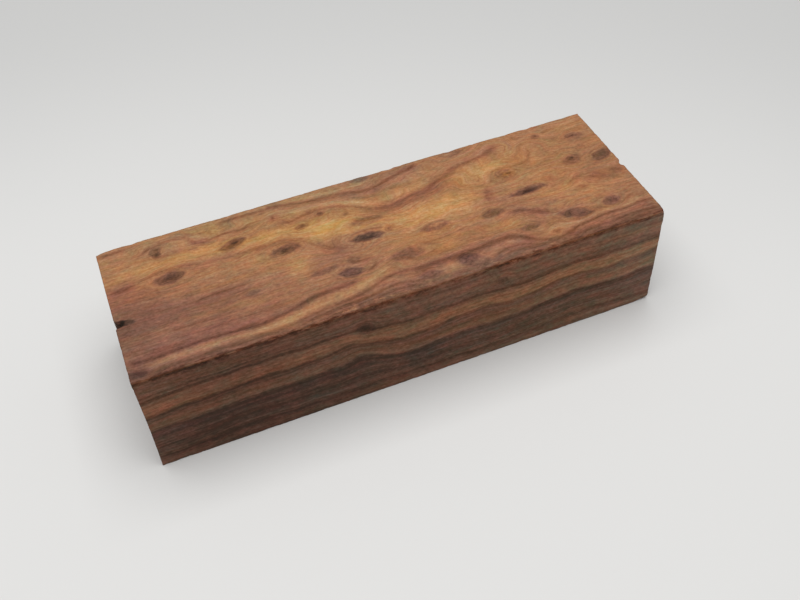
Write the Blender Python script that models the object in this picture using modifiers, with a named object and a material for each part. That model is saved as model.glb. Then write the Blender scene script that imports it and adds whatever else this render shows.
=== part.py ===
"""A sawn block of Arizona ironwood, cut for turning, carving or knife handles.

The block is one piece of wood, so it is one object. It lies on its bottom face with its
length along X, its width along Y and its thickness along Z. The origin is at the middle of
the bottom face. Its front is the side at -Y, and its left end is the one at -X.
"""

import math
import random

import bpy
from mathutils import Euler, Vector

MM = 0.001

# Driving dimensions of the sawn block.
LENGTH = 152.0 * MM
WIDTH = 50.2 * MM
HEIGHT = 36.0 * MM
ARRIS_WEAR = 0.25 * MM

LEFT, RIGHT = -LENGTH / 2, LENGTH / 2
FRONT, BACK = -WIDTH / 2, WIDTH / 2
TOP = HEIGHT

# Knots that are open in the top face: centre x, y, length, width and depth in mm,
# and the turn of the long axis in degrees.
TOP_KNOTS = (
    (-58.8, 7.5, 6.8, 2.8, 0.30, 3),
    (-39.8, 12.9, 5.4, 2.2, 0.25, 14),
    (-26.6, 4.4, 6.4, 2.6, 0.25, 4),
    (-4.2, 0.0, 7.2, 2.5, 0.45, -2),
    (-13.0, -11.2, 5.0, 2.6, 0.25, -8),
    (3.2, -10.8, 5.0, 2.6, 0.15, 5),
    (14.4, -3.8, 3.6, 1.8, 0.15, 0),
    (31.9, -5.7, 5.0, 2.2, 0.30, -4),
    (43.6, 7.6, 2.6, 1.6, 0.20, 10),
    (54.0, -15.8, 5.6, 2.8, 0.35, -24),
    (64.6, -14.8, 3.8, 2.0, 0.30, 6),
    (63.5, 6.1, 3.2, 2.0, 0.20, 24),
    (72.2, 4.6, 5.2, 2.6, 0.35, 16),
    (-19.8, 11.7, 2.6, 1.3, 0.15, 5),
)

# A pin knot that dried out and left a round hole in the dark knot near the middle.
PIN_HOLE = (-2.4, 0.0, 1.1, 0.9, 1.1, 0)

# Drying cracks in the top face, narrow and deeper than the knots.
TOP_CRACKS = (
    (44.9, -1.3, 9.0, 0.9, 1.2, 2),
    (31.6, -5.6, 3.6, 0.5, 0.8, -4),
    (-5.2, 0.2, 3.4, 0.5, 0.9, -3),
)

# Knots that are open in the front face: centre x, z, length, height and depth in mm.
FRONT_KNOTS = (
    (26.0, 29.6, 3.0, 1.6, 0.20),
    (-14.2, 28.0, 2.8, 1.4, 0.20),
    (50.6, 22.7, 2.4, 1.2, 0.15),
)

# Knots in the back face, which is sawn like the front.
BACK_KNOTS = (
    (-47.0, 21.5, 5.5, 2.4, 0.30),
    (-8.0, 12.0, 3.2, 1.6, 0.20),
    (35.0, 25.5, 6.5, 2.6, 0.35),
)

# Splinters torn out of the arrises by the saw: place along the arris, length and size in mm.
FRONT_ARRIS_CHIPS = (
    (-72.5, 2.4, 0.45),
    (-57.0, 4.2, 0.55),
    (-50.5, 6.0, 0.75),
    (-43.8, 3.0, 0.45),
    (-29.0, 4.6, 0.60),
    (-23.0, 5.4, 0.80),
    (-16.4, 4.2, 0.55),
    (-8.0, 5.6, 0.85),
    (-1.6, 3.8, 0.55),
    (8.2, 3.0, 0.45),
    (22.6, 3.4, 0.55),
    (29.0, 5.2, 0.90),
    (37.0, 2.8, 0.45),
    (55.5, 4.0, 0.50),
    (67.0, 3.4, 0.55),
)
BACK_ARRIS_CHIPS = (
    (-66.0, 3.2, 0.45),
    (-38.0, 2.6, 0.40),
    (12.0, 3.6, 0.55),
    (31.5, 4.6, 0.50),
    (58.0, 2.8, 0.45),
)
SEED = 7

SPHERE_SEGMENTS = 14
SPHERE_RINGS = 8


def clear_scene():
    for item in list(bpy.data.objects):
        bpy.data.objects.remove(item, do_unlink=True)


def new_collection(name):
    collection = bpy.data.collections.new(name)
    bpy.context.scene.collection.children.link(collection)
    return collection


def keep_in(collection, item):
    """Moves an object that an operator made into one collection."""
    for other in list(item.users_collection):
        other.objects.unlink(item)
    collection.objects.link(item)


def wood_material():
    material = bpy.data.materials.new("ironwood")
    material.use_nodes = True
    shader = material.node_tree.nodes["Principled BSDF"]
    shader.inputs["Base Color"].default_value = (0.27, 0.135, 0.07, 1.0)
    shader.inputs["Roughness"].default_value = 0.55
    shader.inputs["Metallic"].default_value = 0.0
    return material


def sawn_block(collection):
    """The squared billet, with the light wear that all its arrises have."""
    bpy.ops.mesh.primitive_cube_add(size=1, location=(0, 0, HEIGHT / 2))
    block = bpy.context.object
    block.name = "ironwood_block"
    block.data.name = "ironwood_block"
    block.scale = (LENGTH, WIDTH, HEIGHT)
    bpy.ops.object.transform_apply(location=True, rotation=False, scale=True)
    wear = block.modifiers.new("arris wear", "BEVEL")
    wear.width = ARRIS_WEAR
    wear.segments = 2
    wear.limit_method = "ANGLE"
    block.data.materials.append(wood_material())
    keep_in(collection, block)
    return block


def make_cutter(item, name, collection):
    item.name = name
    item.hide_render = True
    item.display_type = "WIRE"
    bpy.ops.object.transform_apply(location=False, rotation=True, scale=True)
    keep_in(collection, item)
    return item


def ellipsoid_cutter(name, centre, radii, collection, turn=(0.0, 0.0, 0.0)):
    bpy.ops.mesh.primitive_uv_sphere_add(
        segments=SPHERE_SEGMENTS, ring_count=SPHERE_RINGS, radius=1, location=centre
    )
    item = bpy.context.object
    item.scale = radii
    item.rotation_euler = Euler(turn)
    return make_cutter(item, name, collection)


def slab_cutter(name, through, outward, collection, size=12 * MM):
    """A cube whose inner face passes through a point and looks back along `outward`."""
    normal = Vector(outward).normalized()
    centre = Vector(through) + normal * size / 2
    bpy.ops.mesh.primitive_cube_add(size=size, location=centre)
    item = bpy.context.object
    item.rotation_euler = normal.to_track_quat("Z", "Y").to_euler()
    return make_cutter(item, name, collection)


def pit_shape(depth):
    """How far an ellipsoid's centre stands off the face, its radius, and the widening it needs."""
    radius = 2 * depth
    stand_off = depth
    widening = 1 / math.sqrt(1 - (stand_off / radius) ** 2)
    return stand_off, radius, widening


def cut_top_knots(collection):
    for index, (x, y, length, width, depth, turn) in enumerate(TOP_KNOTS + (PIN_HOLE,)):
        stand_off, radius, widening = pit_shape(depth * MM)
        ellipsoid_cutter(
            f"top_knot_{index}",
            (x * MM, y * MM, TOP + stand_off),
            (length / 2 * MM * widening, width / 2 * MM * widening, radius),
            collection,
            turn=(0, 0, math.radians(turn)),
        )


def cut_top_cracks(collection):
    """Thin lenses whose widest part lies just above the face, clear of its plane."""
    for index, (x, y, length, width, depth, turn) in enumerate(TOP_CRACKS):
        ellipsoid_cutter(
            f"top_crack_{index}",
            (x * MM, y * MM, TOP + ARRIS_WEAR / 3),
            (length / 2 * MM, width / 2 * MM, depth * MM),
            collection,
            turn=(0, 0, math.radians(turn)),
        )


def cut_side_knots(knots, face_y, name, collection):
    outward = math.copysign(1, face_y)
    for index, (x, z, length, height, depth) in enumerate(knots):
        stand_off, radius, widening = pit_shape(depth * MM)
        ellipsoid_cutter(
            f"{name}_knot_{index}",
            (x * MM, face_y + outward * stand_off, z * MM),
            (length / 2 * MM * widening, radius, height / 2 * MM * widening),
            collection,
        )


def cut_arris_chips(chips, face_y, name, collection, draw):
    """Shallow splinters out of a top arris, each turned a little off the grain."""
    for index, (x, length, size) in enumerate(chips):
        tilt = math.radians(draw.uniform(-4, 4))
        yaw = math.radians(draw.uniform(-3, 3))
        ellipsoid_cutter(
            f"{name}_chip_{index}",
            (x * MM, face_y, TOP + 0.1 * size * MM),
            (length / 2 * MM, 0.8 * size * MM, size * MM),
            collection,
            turn=(0, tilt, yaw),
        )


def cut_ends(collection):
    """The bark pocket in the left end, and the splintered dent in the right one."""
    ellipsoid_cutter(
        "bark_pocket",
        (LEFT - 0.2 * MM, -3.9 * MM, TOP - 0.4 * MM),
        (2.7 * MM, 1.15 * MM, 2.6 * MM),
        collection,
        turn=(0, math.radians(6), math.radians(-4)),
    )
    ellipsoid_cutter(
        "end_dent",
        (RIGHT + 0.25 * MM, -1.6 * MM, TOP - 0.3 * MM),
        (0.95 * MM, 1.2 * MM, 2.4 * MM),
        collection,
        turn=(0, 0, math.radians(12)),
    )


def cut_corners(collection):
    """Three corners that a knock or the saw took off."""
    slab_cutter(
        "corner_top_front_right",
        (RIGHT - 0.45 * MM, FRONT + 0.45 * MM, TOP - 0.3 * MM),
        (1, -1, 0.9),
        collection,
    )
    slab_cutter(
        "corner_bottom_front_right",
        (RIGHT - 1.6 * MM, FRONT + 0.4 * MM, 0.45 * MM),
        (0.16, -1.0, -1.0),
        collection,
    )
    slab_cutter(
        "corner_top_back_left",
        (LEFT + 1.2 * MM, BACK - 0.4 * MM, TOP - 0.25 * MM),
        (-0.24, 1.0, 0.8),
        collection,
    )


def cut_all(block, cutters):
    cut = block.modifiers.new("cuts", "BOOLEAN")
    cut.operation = "DIFFERENCE"
    cut.solver = "EXACT"
    cut.operand_type = "COLLECTION"
    cut.collection = cutters


def main():
    clear_scene()
    pieces = new_collection("arizona_ironwood_block")
    cutters = new_collection("cutters")
    block = sawn_block(pieces)
    draw = random.Random(SEED)
    cut_top_knots(cutters)
    cut_top_cracks(cutters)
    cut_side_knots(FRONT_KNOTS, FRONT, "front", cutters)
    cut_side_knots(BACK_KNOTS, BACK, "back", cutters)
    cut_arris_chips(FRONT_ARRIS_CHIPS, FRONT, "front", cutters, draw)
    cut_arris_chips(BACK_ARRIS_CHIPS, BACK, "back", cutters, draw)
    cut_ends(cutters)
    cut_corners(cutters)
    cut_all(block, cutters)


main()
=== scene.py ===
"""Looks of the Arizona ironwood block: its fine surface, its figure, the floor and the light.

The block is laid out in millimetres, with its length and its grain along x, its width along
y and its thickness along z. Every face has the same fields, worked out at its mesh points:

tone: from dark, 0, to light, 1
plum and rust: shifts of hue, towards blue and towards red
knot: how far inside a knot's reach
rim: how dark the rings of that knot are
torn and frayed: the share of torn fibres, and of pale frayed ones
banded: 1 where the face is cut across the growth layers, and 0 on the top
layer: the growth layer, as its height at the left end of the front
grain: the place in the wood, bent to follow the figure
saw: the place across and along the saw's strokes

One material turns them into wood, with its fibres, pores and fine lines.
"""

import itertools
import math
from collections import namedtuple

import bpy
import numpy as np
from mathutils import Euler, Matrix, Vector
from mathutils.bvhtree import BVHTree


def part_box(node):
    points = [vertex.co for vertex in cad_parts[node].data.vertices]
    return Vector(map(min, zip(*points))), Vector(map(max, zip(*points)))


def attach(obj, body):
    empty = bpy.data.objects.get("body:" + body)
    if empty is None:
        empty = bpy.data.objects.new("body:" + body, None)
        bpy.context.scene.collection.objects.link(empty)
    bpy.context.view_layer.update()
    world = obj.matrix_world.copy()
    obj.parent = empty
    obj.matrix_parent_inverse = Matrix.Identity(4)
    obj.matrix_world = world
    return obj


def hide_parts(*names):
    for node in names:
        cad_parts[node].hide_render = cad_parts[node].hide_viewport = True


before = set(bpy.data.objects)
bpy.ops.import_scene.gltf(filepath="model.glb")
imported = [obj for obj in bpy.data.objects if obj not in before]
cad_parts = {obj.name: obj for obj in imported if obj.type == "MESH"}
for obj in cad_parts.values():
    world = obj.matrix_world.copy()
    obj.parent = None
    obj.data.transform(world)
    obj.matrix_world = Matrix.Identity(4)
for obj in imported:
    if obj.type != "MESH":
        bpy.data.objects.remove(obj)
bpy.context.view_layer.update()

MM = 0.001
NODE = "ironwood_block"
LOW, HIGH = (np.array(corner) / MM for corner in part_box(NODE))
LEFT, FRONT, BOTTOM = LOW
RIGHT, BACK, TOP = HIGH
WIDTH = BACK - FRONT
SEED = 11

# The camera: its heading (from +Y, anticlockwise), tilt (from straight down) and roll.
CAMERA_PLACE_MM = (-62.2, -189.3, 221.6)
CAMERA_HEADING = -19.35
CAMERA_TILT = 42.97
CAMERA_ROLL = -3.65
CAMERA_LENS_MM = 43.69
CAMERA_SENSOR_MM = 36.0

# Veins, knots, patches and layers have their places and sizes in mm and shades in hundredths.
PERCENT = 0.01

# A line of growth in a face: x and y of points along it, how much darker it is than the wood
# around (negative is lighter), its half width to the left and right, and how much bluer.
Vein = namedtuple("Vein", "points dark left right plum", defaults=(5,))

# A knot cut across: centre, length, width and turn in degrees, how dark its outline and its
# heart are, how much bluer it is and how much redder (negative is greenish).
Knot = namedtuple("Knot", "x y length width turn rim heart plum rust", defaults=(0, 0))

# A soft patch of another shade: centre, half sizes and the change it makes.
Patch = namedtuple("Patch", "x y rx ry tone plum rust", defaults=(0, 0))


def table(kind, *rows):
    return [kind(*row) for row in rows]


# Tone of the top at the front and at the back, from 0 to 1.
TOP_TONE = (0.645, 0.715)
TOP_VEINS = table(
    Vein,
    ((-77, 7.7, -71, 7.8, -66.5, 8.6), 22, 0.6, 0.6, 20),
    ((-67, 8.8, -62, 10.3, -57, 10.5, -52, 9.6, -48, 8.8, -43, 8.4, -37, 8.6, -31, 8.4), 9, 0.45,
      0.6),
    ((-36, 7.9, -30, 8.2, -26, 7.8, -22, 6.5, -20, 4.5, -17, 2, -14, -0.8, -9, -3), 9, 1, 1.8, 10),
    ((-9, 1.6, -6.5, 2.6, -3.5, 2.8, -0.8, 2.2, 1.4, 1), 10, 0.45, 0.45, 10),
    ((-72, 0.9, -65, 0.9, -57, 0.6, -48, 0.2), -3, 0.45, 0.45),
    ((-72, -0.6, -65, -1, -58, -1.2), 5, 0.5, 0.9),
    ((-56, -4.3, -50, -4, -45, -3.9, -38, -3.5), 12, 0.45, 0.5),
    ((-58, -7.6, -54, -8.2, -49, -9.4), -7, 0.5, 0.5),
    ((-64, -11.6, -56, -11.9, -47, -12.2), 10, 0.45, 0.45),
    ((-64, -14.8, -55, -15.2, -48, -14.9, -40, -15, -32, -14.4), 8, 0.5, 0.5),
    ((-77, -18.2, -73, -18.9, -68, -19.2, -63, -18.9, -57, -18.6, -50, -18.8, -45, -19.1,
      -40, -19.3, -36, -18.7, -32, -17.8, -28, -16.6, -24, -15.8, -20, -15.4, -15, -15.3,
      -11, -14.4), 20, 0.7, 0.5, 22),
    ((-72, -16.8, -55, -16.8, -42, -17.4, -34, -16.3), 6, 1.4, 1.4, 10),
    ((-72, -22.8, -69, -21.5, -63, -20.7, -52, -20.8, -42, -21, -36, -20.7, -30, -19.9, -22, -18.9,
      -15, -17.9, -10, -16.5, -6, -14.7, -1, -12.8), -9, 0.9, 0.9, -8),
    ((-77, -21.6, -74, -22.4, -70, -22.6), 15, 1.4, 1.4, 10),
    ((-71, -24, -66, -23.3, -58, -23, -50, -22.9, -42, -23.3, -36, -23.2, -31, -22.2), 8, 0.5, 0.9,
      10),
    ((-34, -22.8, -30, -22, -25, -21.3, -20, -20.8, -15, -20.3, -11, -19.4, -8, -18.3, -5, -17.2,
      -2, -16.7, 1, -16.9, 4, -17.4), 15, 0.5, 0.5, 12),
    ((1, -17, 5, -17.5, 10, -17.2, 15, -17.2, 20, -17, 25, -16.7, 30, -16.4, 33, -17.1, 36, -18.9,
      39, -21), 19, 0.7, 1.3, 18),
    ((34, -17.6, 37.5, -19.9, 41, -22, 44, -22.5, 48, -21.5, 52, -20.3, 57, -19.8, 60, -19.2,
      66, -19.4, 71, -18.7, 77, -19), 15, 0.4, 0.5),
    ((-32, -23.7, -26, -23, -21, -22.3, -16, -22.1, -11, -21.7, -7, -20.9, -3, -20.5, 1, -21.1,
      5, -22.2), 16, 0.5, 0.5, 8),
    ((-26, -24.2, -18, -23.5, -12, -23.2, -6, -22.4, -1, -22.4, 4, -23.6), 12, 0.5, 0.5),
    ((-24, -22.8, -16, -22.8, -10, -22.4, -4, -21.4), -4, 0.45, 0.45),
    ((23, -22.8, 26, -21.2, 30, -20.3, 34, -20.7, 38, -22.5, 42, -23.8), 14, 0.5, 0.6),
    ((26, -23.6, 30, -21.9, 34, -22.2, 38, -24.2), 10, 0.45, 0.45, -5),
    ((23, -19.4, 27, -18.3, 31, -18.2, 34, -19.4, 37, -21.3), -7, 0.6, 0.6),
    ((46, -22, 49, -20.8, 53, -20.3, 57.5, -19.6, 63, -19.25, 68, -19.4, 71, -19.1, 76, -18.6), 6,
      0.3, 0.35, 5),
    ((44, -23.9, 50, -21.9, 57, -21.3, 64, -21.1, 70, -20.8, 77, -21), 8, 0.45, 0.45),
    ((46, -24.6, 52, -22.9, 60, -22.5, 68, -22.3, 77, -22.4), 12, 0.5, 0.5, 10),
    ((52, -24.8, 60, -24.3, 68, -24.2, 77, -24.4), 8, 0.6, 0.6, 10),
    ((-42, 23, -35, 23.2, -29, 22.9, -25, 23.3, -21, 22.4, -17, 21.6, -12, 20.9, -6, 20.4, -2, 19.6,
      0, 18.9, 3, 18.7, 6, 19.2, 9, 20.3, 12, 21.2, 15, 22, 18, 22.8, 21, 24.4), 16, 0.5, 0.8),
    ((-24, 24.6, -19, 23.7, -12, 22.7, -5, 22, 0, 22.2, 6, 23.2), -11, 0.6, 0.6, -5),
    ((-25, 18.9, -18, 18.4, -12, 18, -7, 17, -3, 15.2, 1, 12.9, 5, 12.6, 11, 13.4, 17, 14,
      21, 15.2), -8, 0.8, 0.8, -5),
    ((-27, 16.8, -25.5, 15.6, -22, 15.1, -18, 15.8, -14, 16.4, -10, 16.1, -7, 15, -4, 14,
      -1.5, 12.4, 0.5, 10.9, 3, 9.8), 12, 0.45, 0.55, 5),
    ((-25.4, 20.2, -26.2, 18.6, -26.8, 16.6), 20, 0.45, 0.45),
    ((-1, 11.6, 2, 10, 4.5, 9.6, 7, 9.5, 10, 10.1, 13, 10.9, 16, 11.2, 19, 11.9, 21, 12.9, 24, 14.1,
      27, 15.2, 29, 16.5, 32, 17.6, 36, 18.2, 40, 18.8, 42.5, 19.8, 44.5, 21.4, 46, 23.4), 14, 0.7,
      1, 14),
    ((3, 8.4, 8, 8.1, 13, 8.9, 18, 9.7, 23, 11.6, 27, 13.6), 8, 0.9, 1.4, 10),
    ((-66, 19, -62, 20.6, -59, 21.4, -56, 21.8, -53, 21.7, -50.8, 20.9, -50.2, 19.2, -48.8, 17.6,
      -46.5, 17.1, -44, 17.5, -40, 18.2, -37, 17.6, -34, 18.2, -31, 19.8), 13, 0.45, 0.5, 8),
    ((-64, 17.2, -60, 16.5, -54, 16.5, -51, 15.4, -48.6, 13.6), 4, 0.45, 0.45),
    ((-77, 22.6, -72, 23.2, -66, 23.3), 13, 0.6, 0.6, 10),
    ((33.4, 7.4, 34.4, 4.6, 33.4, 1.6, 32.4, -2.8), 13, 1.7, 1.2, 20),
    ((36.2, 7.6, 37.4, 9.8, 40, 10.9, 43, 10.9, 46, 10.7, 50, 10.6, 52.2, 12.4, 53.4, 14.8,
      54.8, 17.8), 10, 0.45, 0.5, 0),
    ((33.6, 8.4, 36.4, 11.2, 40, 12.6, 45, 12.6), -8, 0.5, 0.5, -10),
    ((34.5, -8.2, 38, -7.7, 40.4, -8.5, 42.6, -9.9, 44.6, -10.8, 46.6, -11.8, 47.8, -13.6), 17, 0.9,
      0.9, 20),
    ((48, -15, 50.2, -16.7, 53, -18, 56, -17.8, 58, -16.7, 61, -16.4, 63, -17, 66, -17, 69, -15.8,
      73, -14.6), 8, 0.45, 0.45, 0),
    ((40, -18.6, 46, -18.2, 52, -18.9, 60, -17.9, 68, -17.9, 74, -17.2), -8, 0.8, 0.8, -5),
    ((62, -2.4, 66, -3.9, 70, -6.2), 8, 0.6, 0.8, 0),
    ((70, -1.6, 73, -3.6, 76.5, -5.6), 11, 0.5, 0.6, 0),
    ((66.6, 1.2, 71, 2.4, 74, 3.6, 77, 5.6), 4, 0.5, 0.5),
    ((-10.2, -13, -7.6, -12.3, -5.8, -11, -5, -8.8), 13, 0.45, 0.45),
    ((-12.4, -6.2, -11.2, -7.8, -8, -8.2, -5, -7.6), 15, 0.5, 0.6),
    ((2, -8.6, 9, -8.9, 14, -9.2, 20, -8.8), 6, 0.45, 0.45),
)
TOP_KNOTS = table(
    Knot,
    (-58.8, 7.1, 8, 4, 5, 27, 45, -15, 2), (-39.6, 12.9, 7, 3.2, 14, 27, 52, -25, 5),
    (-26.8, 4.4, 7.8, 3.4, 5, 23, 46, -20), (-4, -0.1, 8, 3.1, -2, 34, 58, 0, -8),
    (-1.8, 6.2, 8.4, 3, -2, 14, 14, -20, 2), (-13, -11.2, 5.8, 3.2, -9, 29, 14, 32, -10),
    (3.6, -11, 9.2, 4, -2, 16, 18, 3), (-10.9, -6.8, 3.8, 2.4, 0, 10, 15, -5, -8),
    (-19.4, -7.9, 7, 2.2, 4, 14, 16, 3), (14.6, -3.8, 7.8, 3.2, 4, 16, 0, 12),
    (31.6, -5.8, 6.6, 3, 0, 21, 25, -18), (44.8, -1.3, 9.2, 2.1, 3, 24, 34, -7, 5),
    (46, -0.9, 9.6, 3.2, 3, 5, 5, 10), (42, 7.6, 9.4, 5.2, 6, 6, -2, -15),
    (42.3, 7.8, 5.4, 2.8, 5, 12, 6, -25), (43.3, 8, 2.4, 1.6, 5, 10, 28, -20, 5),
    (53, -15.4, 8.2, 3.6, -18, 23, 22, 8), (50.8, -14.5, 2.8, 1.5, -12, 3, 18, -20, 5),
    (55, -16.3, 2.6, 2, -24, 3, 14, 5), (64.6, -14.9, 5, 3.2, 5, 20, 34, -5),
    (63.4, 5.9, 5.8, 3.6, 20, 12, 16, -10, -8), (63.4, 6.4, 2, 1.6, 20, 10, 40, -25, 5),
    (72.6, 4.4, 7, 3.6, 18, 22, 25, 0, -14), (71, 4.1, 3, 2.2, 18, 0, -10, -10),
    (68.7, 15.8, 7.2, 3.6, 0, 7, 16, 5, 4), (68.4, 15.9, 2.8, 1.5, 0, 8, 30, -20, 18),
    (-19.7, 11.5, 3.8, 2.2, 5, 22, 38, -20, 6), (-13.2, 14.5, 1.9, 1.6, 0, 18, 50, -20),
    (-75.4, -3.8, 4.4, 2.6, -8, 34, 52, -40, 15), (-72.8, -4.3, 4.2, 1.8, -12, 16, 12, -10),
    (38.8, -15.3, 5.2, 2.2, 4, 14, 20, -25), (44.6, -19.9, 2.6, 1.6, 0, 11, 34, -30, 20),
    (6.2, -21, 5, 2.6, 0, 15, 13, 12, -5), (17.8, -19.4, 5.2, 3.6, 0, 16, 25, 17, -6),
    (20, -21.9, 5.8, 3.6, 0, 10, 2, 8, -8), (31.6, 23.6, 6.8, 2.6, 0, 10, -6, 22, -10),
    (2.4, 24.2, 5.4, 2.6, 0, 15, 13, 15, -25), (-60.3, 19.2, 3.6, 2.6, 20, 13, 26, -25),
    (-60.2, 17.3, 2.8, 2.2, -15, 18, 42, -30), (-27, -16.4, 5.6, 1.9, 14, 4, 5, -12, -14),
    (-39.5, -7.6, 3.8, 2, 0, 7, 8, 0, -6), (58.4, 20.1, 2.4, 2.2, 20, 14, 32, -20, 10),
    (62.6, 21.2, 3.6, 1.5, 12, 6, 9, -20), (52.4, 22.3, 5.4, 1.4, 4, 4, 6, -15, -4),
    (-6.8, 11.2, 2.6, 1.8, 30, 8, 22, -8), (3, 0.9, 3.8, 2.4, 30, 5, 26, -10, 3),
    (17.8, 22.7, 4.6, 2.4, 0, 4, 8, 0, -2),
)
TOP_PATCHES = table(
    Patch,
    (-67, -5, 13, 6, -12, 8, 2), (-46, -9, 20, 6.5, -6.5, 3), (-72, 4, 8, 3.5, -7, 5, 10),
    (-62, -15, 16, 2.5, -5, 10), (-61, 13.2, 14, 2.6, 7, -10), (-45, 13.5, 8, 2.5, 7, -10, 2),
    (-30, 11.6, 10, 2.6, 13, -8), (-14, 8.4, 9, 3.6, 20, -15, -3), (-6, 4.2, 7, 1.3, 8, -10),
    (-14, 4, 24, 3.6, 3, -3), (-25, -3, 2.8, 4.5, 11, -5), (-16, -4, 7, 3, -5, 8),
    (-40.5, -10.2, 4, 1.6, 7, -5), (10, 2, 11, 4.5, 13, -12, 4), (23, 3.5, 9, 4.5, 12, -10, 3),
    (38, 13.4, 13, 4.2, 7, -6), (22, -1.5, 8, 3, 7, -6, 3), (6, 17, 8, 1.6, -6, 2, -5),
    (-2.5, 18.4, 3, 1.6, -5, 0, -5), (18, -12.5, 18, 2.6, -3, -2), (5, -6.5, 9, 2, 5, -5, 3),
    (24, -6.5, 9, 2, 3, -5, 2), (-48, 17.6, 2.5, 1.8, -8, 5, 2), (43, 3.6, 15, 3.6, 4, -7),
    (52, -4.4, 8, 1.8, 6, -8, 5), (62, -9, 10, 3.4, 4, -4, 4), (57, 2, 7, 5, 0, -8, 6),
    (70, 12, 6, 10, -4, 0, 2), (66, -2.6, 6, 2.2, -6), (34, -11.6, 6, 2.6, 6, -8),
    (12.5, -20, 1.8, 2, 10, 0, 2), (25.5, -20.4, 2.4, 1.6, 8, 5), (4, 20.8, 24, 3.4, 0, 6, -2),
    (-42, 20.6, 15, 3.4, 5, -6, -2), (-77, -4, 9, 17, -5, 0, -4), (-61, 3.2, 8, 2.6, -7, 0, 3),
    (-52, -5.4, 14, 4, -4.5), (8, 23, 16, 2.6, -5, 5, -2), (35, 12.5, 10, 6, 3.5),
    (-20, -2.5, 6, 3.6, 5, -3), (7, -4, 6, 3, 4, -3), (13, -10.6, 11, 3.6, 5.5, -9, 3),
    (48, -21.2, 16, 2.6, 6, -3, 3), (-36, -22, 9, 2.2, 3, 0, 2), (28, -23, 6, 2, -3.5, 0, -3),
    (5, 12, 85, 6, 0, -12), (-35, 24, 34, 4, 0, 2, -6), (-66, 8.5, 10, 5, 0, 0, 5),
    (-60, -20, 18, 5, 0, 10), (62, -4, 7, 3, 0, -8, 5), (15, -22.5, 20, 3, 0, 10, -5),
    (-42, 22, 44, 4, 0, 0, -5), (-73, -12, 8, 14, -7.5, 0, -2), (-75, -22.4, 4.5, 2, -7, 12),
    (-58, -21, 16, 4, -5), (22, -12, 16, 3.5, 0, -9, 2), (57, -7, 12, 5, 0, -6, 2),
    (14, 12.5, 9, 3, 0, 4, 6), (50, 20, 9, 4, 0, 0, 4), (70, 20.6, 7, 3.6, 4.5),
    (-60, 4, 12, 3, 0, -5), (-32, 4, 6, 4, 3, -8, -2), (0, -23, 90, 2.8, 0, -7, -6),
    (-25, -22.8, 13, 2.2, 6),
)

# How far the fibres of the top curl out of line. They run straight at the front left, and
# the curling sets in between two slanting lines.
CURL = 1.2
CURLY = (-21, -1)
CURLY_SLANT = 0.35

# The wood darkens towards the front arris: where that starts and ends, and how much.
TOP_FRONT_STRIP = (-20.8, -23.8, 0.15)

# The front is cut across the growth layers: the height of each at the left end and its tone.
# SIDE_TONE shifts them all.
SIDE_TONE = -0.015
FRONT_BANDS = (
    (-3, 44), (0, 48), (1.4, 55), (2.5, 53), (3.3, 40), (4.1, 34), (4.8, 39), (5.6, 50), (6.4, 47),
    (7.3, 37), (8.1, 34), (8.8, 37), (9.8, 42), (10.8, 42), (11.5, 47), (12.3, 39), (13, 35), (14, 36),
    (15, 32), (15.4, 34), (15.9, 44), (16.5, 58), (17.1, 62), (17.7, 57), (18.3, 53), (19.3, 54),
    (20.5, 48), (21, 44), (21.5, 37), (21.9, 43), (22.5, 54), (23.1, 63), (24.2, 64), (25.8, 62),
    (27, 60), (27.5, 54), (28, 42), (28.5, 38), (28.8, 42), (29.2, 53), (29.7, 49), (30, 48), (30.5, 57),
    # The layer at 35.2 mm, under the arris, is darker than its wood: painted shade of the chipped arris.
    (31.1, 49), (31.5, 52), (32.2, 58), (32.8, 52), (33.4, 51), (34.3, 53), (34.8, 47), (35.2, 45),
    (35.9, 56), (40, 60), (46, 54),
)

# The hue of the layers: (height, plum, rust).
FRONT_HUES = (
    (0, 5, -12), (2, 10, -10), (4.3, -13, -1), (6.1, 11, -18), (8.1, -10, -8), (9.8, 0, -9),
    (11.5, 7, -9), (12.6, 4, -5), (14, 2, -8), (15.1, -13, -2), (16.5, 1, -9), (17, 5, -9),
    (18.3, -11, 0), (19.5, -3, -5), (20.5, -1, -7), (21.6, -20, 3), (22.4, -15, 4), (24, -4, 3),
    (25.2, -8, 5), (27, -3, -3), (28.45, -21, 4), (29.2, -1, -5), (30.5, 3, -6), (31.3, -2, -1),
    (33.5, 2, -7), (34.3, 2, -7), (35.3, -15, 4), (46, 0, 0),
)

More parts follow.
